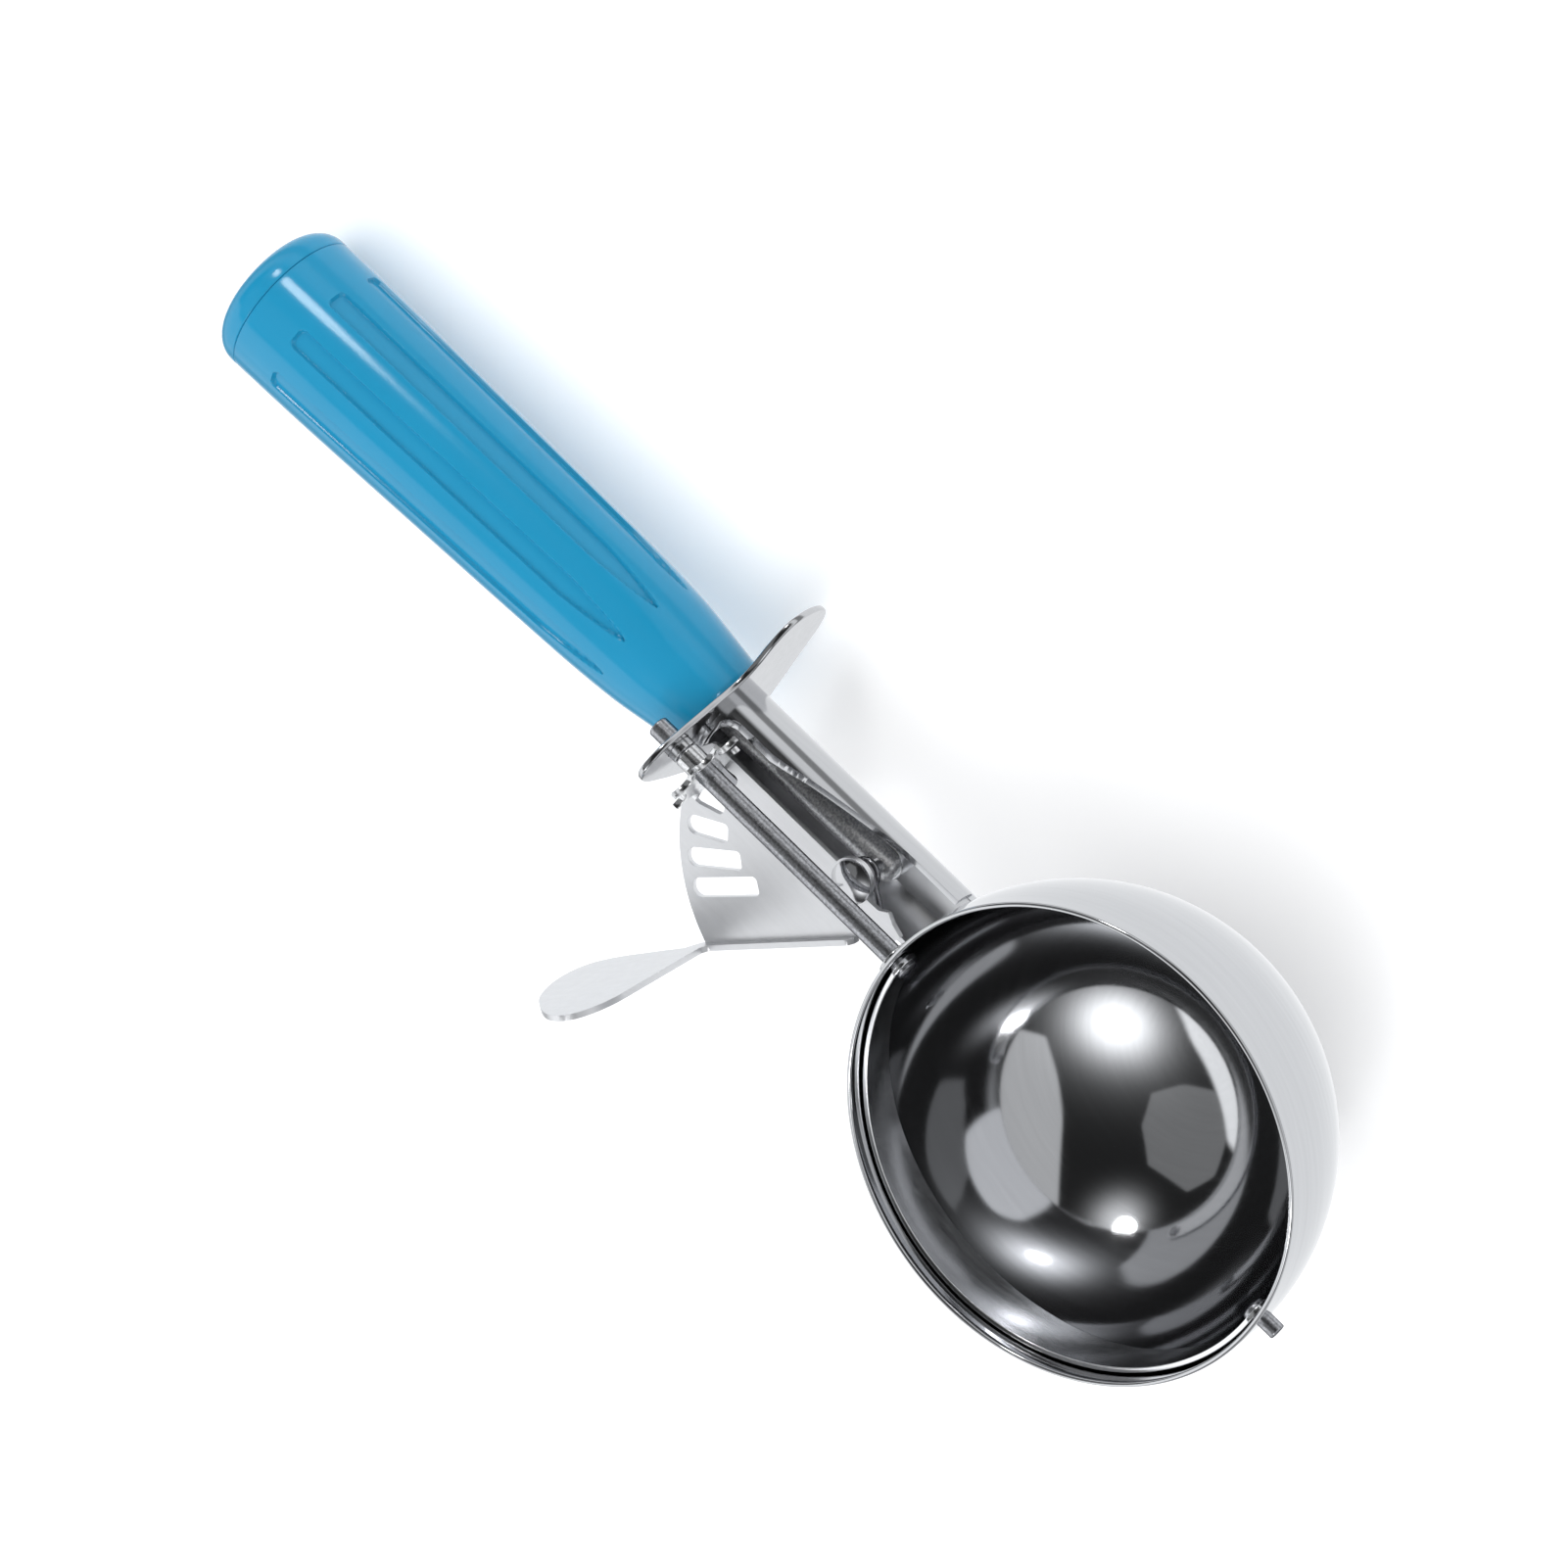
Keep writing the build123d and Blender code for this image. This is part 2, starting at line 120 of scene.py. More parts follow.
def rounded(points, default=0.0, closed=True, steps=5):
    """Corners of a polygon rounded by arcs. A point is (x, y) or (x, y, radius)."""
    out = []
    n = len(points)
    for i, p in enumerate(points):
        r = p[2] if len(p) > 2 else default
        c = Vector(p[:2])
        if not closed and i in (0, n - 1) or r <= 0:
            out.append(c)
            continue
        a, b = Vector(points[i - 1][:2]), Vector(points[(i + 1) % n][:2])
        u, w = (a - c), (b - c)
        lu, lw = u.length, w.length
        u.normalize()
        w.normalize()
        ang = acos(max(-1, min(1, u.dot(w))))
        if ang > pi - 0.02 or ang < 0.02:
            out.append(c)
            continue
        d = min(r / tan(ang / 2), lu * 0.49, lw * 0.49)
        rr = d * tan(ang / 2)
        mid = (u + w).normalized() * (rr / sin(ang / 2)) + c
        s, e = c + u * d - mid, c + w * d - mid
        a0, a1 = atan2(s.y, s.x), atan2(e.y, e.x)
        da = (a1 - a0 + pi) % (2 * pi) - pi
        for k in range(steps + 1):
            t = a0 + da * k / steps
            out.append(mid + Vector((cos(t), sin(t))) * rr)
    return out


def lathe(profile, segments=96, axis=Matrix.Identity(4), closed=True):
    """Turns a profile of (along, radius) points about the axis's local X."""
    verts, faces, rings = [], [], []
    for a, r in profile:
        if r < 1e-4:
            rings.append([len(verts)])
            verts.append(axis @ Vector((a, 0, 0)))
        else:
            rings.append(list(range(len(verts), len(verts) + segments)))
            for k in range(segments):
                t = 2 * pi * k / segments
                verts.append(axis @ Vector((a, r * cos(t), r * sin(t))))
    m = len(rings)
    for i in range(m if closed else m - 1):
        p, q = rings[i], rings[(i + 1) % m]
        if len(p) == 1 and len(q) == 1:
            continue
        for k in range(segments):
            j = (k + 1) % segments
            if len(p) == 1:
                faces.append((p[0], q[k], q[j]))
            elif len(q) == 1:
                faces.append((p[k], q[0], p[j]))
            else:
                faces.append((p[k], q[k], q[j], p[j]))
    return tidy(mesh_from("lathe", verts, faces))


def plate(outlines, thickness, bevel, res=3):
    """A flat sheet in local XY, its edges rounded, centred on local z = 0."""
    cu = bpy.data.curves.new("plate", "CURVE")
    cu.dimensions = "2D"
    cu.fill_mode = "BOTH"
    cu.extrude = thickness / 2 - bevel
    cu.bevel_depth = bevel
    cu.bevel_resolution = res
    cu.offset = -bevel
    for pts in outlines:
        s = cu.splines.new("POLY")
        s.points.add(len(pts) - 1)
        for q, p in zip(s.points, pts):
            q.co = (p[0], p[1], 0, 1)
        s.use_cyclic_u = True
    ob = bpy.data.objects.new("plate", cu)
    bpy.context.scene.collection.objects.link(ob)
    dg = bpy.context.evaluated_depsgraph_get()
    dg.update()
    me = bpy.data.meshes.new_from_object(ob.evaluated_get(dg))
    bpy.data.objects.remove(ob)
    bpy.data.curves.remove(cu)
    return tidy(me)


def wire(points, radius, res=6, cyclic=False):
    cu = bpy.data.curves.new("wire", "CURVE")
    cu.dimensions = "3D"
    cu.bevel_depth = radius
    cu.bevel_resolution = res
    cu.use_fill_caps = True
    s = cu.splines.new("POLY")
    s.points.add(len(points) - 1)
    for q, p in zip(s.points, points):
        q.co = (*p, 1)
    s.use_cyclic_u = cyclic
    ob = bpy.data.objects.new("wire", cu)
    bpy.context.scene.collection.objects.link(ob)
    dg = bpy.context.evaluated_depsgraph_get()
    dg.update()
    me = bpy.data.meshes.new_from_object(ob.evaluated_get(dg))
    bpy.data.objects.remove(ob)
    bpy.data.curves.remove(cu)
    return tidy(me)


def smooth_closed(pts, per=10):
    """A closed smooth line through the points."""
    out, n = [], len(pts)
    for i in range(n):
        p0, p1, p2, p3 = (Vector(pts[(i + k) % n]) for k in (-1, 0, 1, 2))
        for k in range(per):
            t = k / per
            out.append(
                0.5 * ((2 * p1) + (p2 - p0) * t + (2 * p0 - 5 * p1 + 4 * p2 - p3) * t * t + (3 * p1 - p0 - 3 * p2 + p3) * t ** 3)
            )
    return out


def smooth_open(pts, per=10):
    pts = [Vector(p) for p in pts]
    full = [2 * pts[0] - pts[1]] + pts + [2 * pts[-1] - pts[-2]]
    out = []
    for i in range(1, len(full) - 2):
        p0, p1, p2, p3 = full[i - 1:i + 3]
        for k in range(per):
            t = k / per
            out.append(
                0.5 * ((2 * p1) + (p2 - p0) * t + (2 * p0 - 5 * p1 + 4 * p2 - p3) * t * t + (3 * p1 - p0 - 3 * p2 + p3) * t ** 3)
            )
    out.append(pts[-1])
    return out


def joined(*meshes):
    bm = bmesh.new()
    for m in meshes:
        bm.from_mesh(m)
        bpy.data.meshes.remove(m)
    me = bpy.data.meshes.new("joined")
    bm.to_mesh(me)
    bm.free()
    return me


def applied(me, *mods):
    """The mesh after a list of (type, settings) modifiers."""
    ob = bpy.data.objects.new("work", me)
    bpy.context.scene.collection.objects.link(ob)
    helpers = []
    for kind, opts in mods:
        m = ob.modifiers.new(kind.lower(), kind)
        for k, v in opts.items():
            if isinstance(v, bpy.types.Mesh):
                h = bpy.data.objects.new("helper", v)
                bpy.context.scene.collection.objects.link(h)
                helpers.append(h)
                v = h
            setattr(m, k, v)
    dg = bpy.context.evaluated_depsgraph_get()
    dg.update()
    out = bpy.data.meshes.new_from_object(ob.evaluated_get(dg))
    bpy.data.objects.remove(ob)
    for h in helpers:
        bpy.data.objects.remove(h)
    return out


# ---------------------------------------------------------------- materials
def nodes_of(mat):
    mat.use_nodes = True
    nt = mat.node_tree
    nt.nodes.clear()
    out = nt.nodes.new("ShaderNodeOutputMaterial")
    bs = nt.nodes.new("ShaderNodeBsdfPrincipled")
    nt.links.new(bs.outputs[0], out.inputs[0])
    return nt, bs


def steel(name, base, rough, spread=0.05, grain=(60, 60, 60), scale=8.0, bump=0.02, depth=0.00002, turned=None, spots=0.0, blotch=0.03):
    """Stainless steel: brushing as stretched noise in roughness and bump, faint handling marks.
    grain is the noise's stretch along the row's axes; turned makes the brushing run round that local axis."""
    mat = bpy.data.materials.new(name)
    nt, bs = nodes_of(mat)
    N, L = nt.nodes, nt.links
    bs.inputs["Metallic"].default_value = 1.0
    tc = N.new("ShaderNodeTexCoord")
    if turned is not None:
        # radius and height about an axis: noise that is constant round it
        sub = N.new("ShaderNodeVectorMath"); sub.operation = "SUBTRACT"
        L.new(tc.outputs["Object"], sub.inputs[0]); sub.inputs[1].default_value = turned[0]
        rot = N.new("ShaderNodeVectorRotate"); rot.rotation_type = "EULER_XYZ"; rot.invert = True
        rot.inputs["Rotation"].default_value = turned[1]
        L.new(sub.outputs[0], rot.inputs["Vector"])
        sp = N.new("ShaderNodeSeparateXYZ"); L.new(rot.outputs[0], sp.inputs[0])
        ln = N.new("ShaderNodeVectorMath"); ln.operation = "LENGTH"
        cb0 = N.new("ShaderNodeCombineXYZ"); L.new(sp.outputs[0], cb0.inputs[0]); L.new(sp.outputs[1], cb0.inputs[1])
        L.new(cb0.outputs[0], ln.inputs[0])
        at = N.new("ShaderNodeMath"); at.operation = "ARCTAN2"
        L.new(sp.outputs[1], at.inputs[0]); L.new(sp.outputs[0], at.inputs[1])
        sc = N.new("ShaderNodeMath"); sc.operation = "MULTIPLY"; L.new(at.outputs[0], sc.inputs[0]); sc.inputs[1].default_value = turned[2]
        cb = N.new("ShaderNodeCombineXYZ")
        L.new(ln.outputs["Value"], cb.inputs[0]); L.new(sp.outputs[2], cb.inputs[1]); L.new(sc.outputs[0], cb.inputs[2])
        vec = N.new("ShaderNodeVectorMath"); vec.operation = "MULTIPLY"
        L.new(cb.outputs[0], vec.inputs[0]); vec.inputs[1].default_value = grain
    else:
        vec = N.new("ShaderNodeVectorMath"); vec.operation = "MULTIPLY"
        L.new(tc.outputs["Object"], vec.inputs[0]); vec.inputs[1].default_value = grain
    ns = N.new("ShaderNodeTexNoise"); ns.inputs["Scale"].default_value = scale
    ns.inputs["Detail"].default_value = 6.0; ns.inputs["Roughness"].default_value = 0.62
    L.new(vec.outputs[0], ns.inputs["Vector"])
    big = N.new("ShaderNodeTexNoise"); big.inputs["Scale"].default_value = 55.0
    big.inputs["Detail"].default_value = 3.0
    L.new(tc.outputs["Object"], big.inputs["Vector"])
    # roughness = rough + spread * (grain - .5) + blotch * (big - .5)
    m1 = N.new("ShaderNodeMath"); m1.operation = "MULTIPLY_ADD"
    L.new(ns.outputs["Fac"], m1.inputs[0]); m1.inputs[1].default_value = spread; m1.inputs[2].default_value = rough - spread / 2
    m2 = N.new("ShaderNodeMath"); m2.operation = "MULTIPLY_ADD"
    L.new(big.outputs["Fac"], m2.inputs[0]); m2.inputs[1].default_value = blotch; L.new(m1.outputs[0], m2.inputs[2])
    m3 = N.new("ShaderNodeClamp"); L.new(m2.outputs[0], m3.inputs["Value"]); m3.inputs["Min"].default_value = 0.02
    L.new(m3.outputs[0], bs.inputs["Roughness"])
    ramp = N.new("ShaderNodeMix"); ramp.data_type = "RGBA"
    ramp.inputs[6].default_value = (*[c * 0.90 for c in base], 1); ramp.inputs[7].default_value = (*[min(1, c * 1.06) for c in base], 1)
    L.new(ns.outputs["Fac"], ramp.inputs[0])
    L.new(ramp.outputs[2], bs.inputs["Base Color"])
    bp = N.new("ShaderNodeBump"); bp.inputs["Strength"].default_value = bump; bp.inputs["Distance"].default_value = depth
    if spots > 0:
        vo = N.new("ShaderNodeTexNoise"); vo.inputs["Scale"].default_value = 2300.0; vo.inputs["Detail"].default_value = 2.0
        L.new(tc.outputs["Object"], vo.inputs["Vector"])
        ad = N.new("ShaderNodeMath"); ad.operation = "MULTIPLY_ADD"
        L.new(vo.outputs["Fac"], ad.inputs[0]); ad.inputs[1].default_value = spots; L.new(ns.outputs["Fac"], ad.inputs[2])
        L.new(ad.outputs[0], bp.inputs["Height"])
        # lighter and darker flecks in the colour: the rolled surface's grain, with its glints painted in as the lighter
        # flecks
        fl = N.new("ShaderNodeMapRange"); L.new(vo.outputs["Fac"], fl.inputs["Value"])
        fl.inputs["From Min"].default_value, fl.inputs["From Max"].default_value = 0.36, 0.66
        mf = N.new("ShaderNodeMix"); mf.data_type = "RGBA"
        mf.inputs[6].default_value = (*[c * (1 - 0.30 * min(1, spots)) for c in base], 1)
        mf.inputs[7].default_value = (*[min(1, c * (1 + 0.34 * min(1, spots))) for c in base], 1)
        L.new(fl.outputs[0], mf.inputs[0])
        L.new(mf.outputs[2], bs.inputs["Base Color"])
    else:
        L.new(ns.outputs["Fac"], bp.inputs["Height"])
    L.new(bp.outputs[0], bs.inputs["Normal"])
    return mat


def plastic(name, base, rough=0.16):
    """Glossy moulded plastic: slight orange peel, faint clouding of the colour, fine handling scratches."""
    mat = bpy.data.materials.new(name)
    nt, bs = nodes_of(mat)
    N, L = nt.nodes, nt.links
    tc = N.new("ShaderNodeTexCoord")
    cloud = N.new("ShaderNodeTexNoise"); cloud.inputs["Scale"].default_value = 38.0; cloud.inputs["Detail"].default_value = 4.0
    L.new(tc.outputs["Object"], cloud.inputs["Vector"])
    mix = N.new("ShaderNodeMix"); mix.data_type = "RGBA"
    mix.inputs[6].default_value = (*[c * 0.93 for c in base], 1); mix.inputs[7].default_value = (*[min(1, c * 1.06) for c in base], 1)
    L.new(cloud.outputs["Fac"], mix.inputs[0]); L.new(mix.outputs[2], bs.inputs["Base Color"])
    peel = N.new("ShaderNodeTexNoise"); peel.inputs["Scale"].default_value = 420.0; peel.inputs["Detail"].default_value = 2.0
    L.new(tc.outputs["Object"], peel.inputs["Vector"])
    sv = N.new("ShaderNodeVectorMath"); sv.operation = "MULTIPLY"; sv.inputs[1].default_value = (25, 900, 900)
    L.new(tc.outputs["Object"], sv.inputs[0])
    scr = N.new("ShaderNodeTexNoise"); scr.inputs["Scale"].default_value = 2.0; scr.inputs["Detail"].default_value = 5.0
    L.new(sv.outputs[0], scr.inputs["Vector"])
    rg = N.new("ShaderNodeMath"); rg.operation = "MULTIPLY_ADD"; L.new(scr.outputs["Fac"], rg.inputs[0])
    rg.inputs[1].default_value = 0.10; rg.inputs[2].default_value = rough - 0.05
    L.new(rg.outputs[0], bs.inputs["Roughness"])
    bp = N.new("ShaderNodeBump"); bp.inputs["Strength"].default_value = 0.10; bp.inputs["Distance"].default_value = 0.00006
    L.new(peel.outputs["Fac"], bp.inputs["Height"]); L.new(bp.outputs[0], bs.inputs["Normal"])
    bs.inputs["IOR"].default_value = 1.5
    bs.inputs["Specular IOR Level"].default_value = 0.40
    return mat


CENTRE = tuple(TO_REST @ Vector((0, 0, 0)))
TILTED = (0.0, PITCH, 0.0)
M_BOWL = steel("bowl_steel", (0.60, 0.605, 0.62), 0.055, spread=0.05, grain=(1, 1, 1), scale=900, bump=0.05, depth=0.00002,
               turned=(CENTRE, TILTED, 0.0015), blotch=0.03)
M_BLADE = steel("blade_steel", (0.90, 0.905, 0.92), 0.15, spread=0.12, grain=(40, 900, 900), scale=1.0, bump=0.06, depth=0.00003)
M_SHEET = steel("sheet_steel", (0.57, 0.575, 0.59), 0.105, spread=0.06, grain=(30, 600, 600), scale=1.2, bump=0.05, depth=0.00003)
M_LEVER = steel("lever_steel", (0.82, 0.825, 0.84), 0.36, spread=0.035, grain=(120, 500, 500), scale=1.2, bump=0.015, depth=0.00002, blotch=0.015)
# the tang: the rod steel copied lighter, painted light for the rod that lies in the channel's shade
M_TANG_PAINTED_LIGHT = steel("tang_steel_painted_light", (0.80, 0.805, 0.83), 0.42, spread=0.16, grain=(60, 700, 700), scale=1.0, bump=0.30, depth=0.00006, spots=0.9)
M_ROD = steel("rod_steel", (0.43, 0.435, 0.455), 0.27, spread=0.16, grain=(60, 700, 700), scale=1.0, bump=0.30, depth=0.00006, spots=0.8)
# painted shade: the rods' reflections are tinted dark at their edges
M_ROD.node_tree.nodes["Principled BSDF"].inputs["Specular Tint"].default_value = (0.12, 0.12, 0.13, 1)
M_GEAR = steel("gear_steel", (0.76, 0.765, 0.775), 0.17, spread=0.12, grain=(300, 300, 300), scale=1.5, bump=0.12, depth=0.00005, spots=0.4)
M_RIVET = steel("rivet_steel", (0.60, 0.605, 0.62), 0.11, spread=0.08, grain=(200, 200, 200), scale=1.0, bump=0.05, depth=0.00003)
M_BUSH = steel("bush_steel", (0.60, 0.605, 0.615), 0.12, spread=0.10, grain=(900, 60, 60), scale=1.0, bump=0.08, depth=0.00003)
# the saddle: the sheet steel copied lighter, painted light where it sits in the channel's shade
M_POCKET_PAINTED_LIGHT = steel("pocket_steel_painted_light", (0.80, 0.805, 0.82), 0.17, spread=0.10, grain=(30, 600, 600), scale=1.2, bump=0.05, depth=0.00003)
# the channel's inside: the sheet steel copied rougher and lighter, painted light for its shade
M_INNER_PAINTED_LIGHT = steel("channel_steel_painted_light", (0.74, 0.745, 0.76), 0.30, spread=0.12, grain=(30, 600, 600), scale=1.2, bump=0.05, depth=0.00003)
M_SPRING = steel("spring_steel", (0.26, 0.26, 0.275), 0.20, spread=0.12, grain=(300, 300, 300), scale=2.0, bump=0.1, depth=0.00004)
M_NUT = steel("nut_steel", (0.60, 0.60, 0.57), 0.35, spread=0.12, grain=(200, 200, 200), scale=2.0, bump=0.1, depth=0.00004)
M_HANDLE = plastic("handle_blue", (0.013, 0.247, 0.437), 0.15)

# ---------------------------------------------------------------- bowl
def bowl():
    prof = []
    n = 72
    for i in range(n + 1):
        a = -pi / 2 + pi / 2 * i / n
        prof.append((BOWL_RO * sin(a), BOWL_RO * cos(a)))
    rr = (BOWL_RO - BOWL_RI) / 2
    for z in (1.0, 2.0, 3.0, 4.0):
        prof.append((z, BOWL_RO))
    for i in range(9):
        a = pi * i / 8
        prof.append((RIM_Z - rr + rr * sin(a), (BOWL_RO + BOWL_RI) / 2 + rr * cos(a)))
    for z in (4.0, 3.0, 2.0, 1.0):
        prof.append((z, BOWL_RI))
    for i in range(n, -1, -1):
        a = -pi / 2 + pi / 2 * i / n
        prof.append((BOWL_RI * sin(a), BOWL_RI * cos(a)))
    prof[0] = (-BOWL_RO, 0)
    prof[-1] = (-BOWL_RI, 0)
    up = Matrix.Rotation(-pi / 2, 4, "Y")
    me = lathe(prof, 288, up, closed=False)
    return piece("bowl_shell", me, "root", M_BOWL, ["bowl"], angle=60, weighted=False)


bowl()


# ---------------------------------------------------------------- scraper blade
def blade():
    rm = (BLADE_RO + BLADE_RI) / 2
    br = radians(BLADE_REST)
    ux, uv, ud = Vector((1, 0, 0)), Vector((0, sin(br), cos(br))), Vector((0, cos(br), -sin(br)))
    over = BLADE_END / rm
    ss = []
    n = 150
    for i in range(n + 1):
        ss.append(-pi / 2 + pi * i / n)
    m = 10
    left = [-pi / 2 - over * sin(pi / 2 * k / m) for k in range(m, 0, -1)]
    right = [pi / 2 + over * sin(pi / 2 * k / m) for k in range(1, m + 1)]
    ss = left + ss + right
    rim = 0.18

    def half(s):
        e = abs(s) - pi / 2
        if e > 0:
            return sqrt(max(BLADE_END ** 2 - (rm * e) ** 2, 0.0))
        x = rm * sin(s)
        return BLADE_HALF - (BLADE_HALF - BLADE_END) * (x / 43.0) ** 2

    rings, verts, faces = [], [], []
    for s in ss:
        h = max(half(s), 0.02)
        q = min(rim, h * 0.5)
        cross = []
        for k in range(5):
            a = pi / 2 * k / 4
            cross.append((h - q + q * sin(a), BLADE_RO - q + q * cos(a)))
        for k in range(5):
            a = pi / 2 * k / 4
            cross.append((h - q + q * cos(a), BLADE_RI + q - q * sin(a)))
        for k in range(1, 6):
            cross.append((h - q - 2 * (h - q) * k / 6, BLADE_RI))
        for k in range(5):
            a = pi / 2 * k / 4
            cross.append((-h + q - q * sin(a), BLADE_RI + q - q * cos(a)))
        for k in range(5):
            a = pi / 2 * k / 4
            cross.append((-h + q - q * cos(a), BLADE_RO - q + q * sin(a)))
        for k in range(1, 6):
            cross.append((-(h - q) + 2 * (h - q) * k / 6, BLADE_RO))
        ring = []
        for v, r in cross:
            t = v / rm
            ring.append(len(verts))
            verts.append(ux * (r * sin(s) * cos(t)) + ud * (r * cos(s) * cos(t)) + uv * (r * sin(t)))
        rings.append(ring)
    for a, b in zip(rings, rings[1:]):
        k = len(a)
        for i in range(k):
            j = (i + 1) % k
            faces.append((a[i], b[i], b[j], a[j]))
    faces.append(tuple(reversed(rings[0])))
    faces.append(tuple(rings[-1]))
    me = tidy(mesh_from("blade", verts, faces))
    return piece("sweeping_blade", me, "blade", M_BLADE, ["scraper_blade"], angle=40)


blade()

# ---------------------------------------------------------------- shaft, far pin, bushes, hub
ALONG = Matrix.Identity(4)


def shaft():
    prof = [(40.0, 0), (40.0, 1.0, 0.25), (40.35, 1.9, 0.2), (40.9, 1.9, 0.1), (40.9, 1.2), (BLADE_RO, 1.2), (BLADE_RO, SHAFT_R, 0.1),
            (SHAFT_END, SHAFT_R, 0.45), (SHAFT_END, 0)]
    me = lathe([tuple(p) for p in rounded(prof, 0, closed=False)], 64, ALONG, closed=False)
    return piece("blade_rod", me, "blade", M_ROD, ["blade_shaft"])


def far_pin():
    prof = [(-46.1, 0), (-46.1, 1.5, 0.3), (-BLADE_RO, 1.5), (-BLADE_RO, 1.2), (-40.9, 1.2), (-40.9, 2.25, 0.15), (-40.1, 2.05, 0.5), (-39.7, 0.6, 0.6), (-39.7, 0)]
    me = lathe([tuple(p) for p in rounded(prof, 0, closed=False)], 64, ALONG, closed=False)
    return piece("blade_end_pin", me, "blade", M_ROD, ["blade_far_pin"])


def ring(name, prof, body, mat, slot, node, axis=ALONG, seg=64, rad=0.0):
    me = lathe([tuple(p) for p in rounded(prof, rad)], seg, axis)
    return piece(name, me, body, mat, [node])


shaft()
far_pin()
ring("bowl_shaft_bush", [(42.15, 2.0), (42.15, 2.6, 0.15), (43.15, 2.6), (43.15, 3.3, 0.15), (43.95, 3.3, 0.3), (43.95, 2.0, 0.15)],
     "root", M_BUSH, "bush_steel", "bowl_bush")
ring("guard_shaft_bush", [(94.4, 2.0, 0.1), (94.4, 2.45, 0.2), (97.4, 2.45, 0.2), (97.4, 2.0, 0.1)], "root", M_BUSH, "bush_steel", "guard_bush")
ring("pinion_collar", [(90.1, 1.95), (90.1, 2.45, 0.1), (94.2, 2.45, 0.35), (94.2, 1.95)], "blade", M_GEAR, "gear_steel", "pinion_hub")


# ---------------------------------------------------------------- pinion
def pinion():
    # round gullets leave pointed teeth
    first = -90 + 6.2 * 45 / 10.5
    gc, gr, tip = 7.9, 2.72, 8.0
    # where a gullet meets the tip circle, seen from the gullet's centre
    turn = pi - acos((gr * gr + gc * gc - tip * tip) / (2 * gr * gc))
    outline = []
    for k in range(8):
        mid = radians(first + 45 * k + 22.5)
        cx, cy = gc * cos(mid), gc * sin(mid)
        for i in range(25):
            # round the gullet from one tooth to the next, through its bottom
            t = mid - turn - (2 * pi - 2 * turn) * i / 24
            outline.append((cx + gr * cos(t), cy + gr * sin(t)))
    hole = [(1.95 * cos(2 * pi * k / 48), 1.95 * sin(2 * pi * k / 48)) for k in range(48)]
    me = plate([outline, hole], 1.2, 0.16, 2)
    # local x, y, z -> working Y, Z, X
    me.transform(Matrix(((0, 0, 1, 89.5), (1, 0, 0, 0), (0, 1, 0, 0), (0, 0, 0, 1))))
    return piece("star_pinion", me, "blade", M_GEAR, ["pinion"])


pinion()


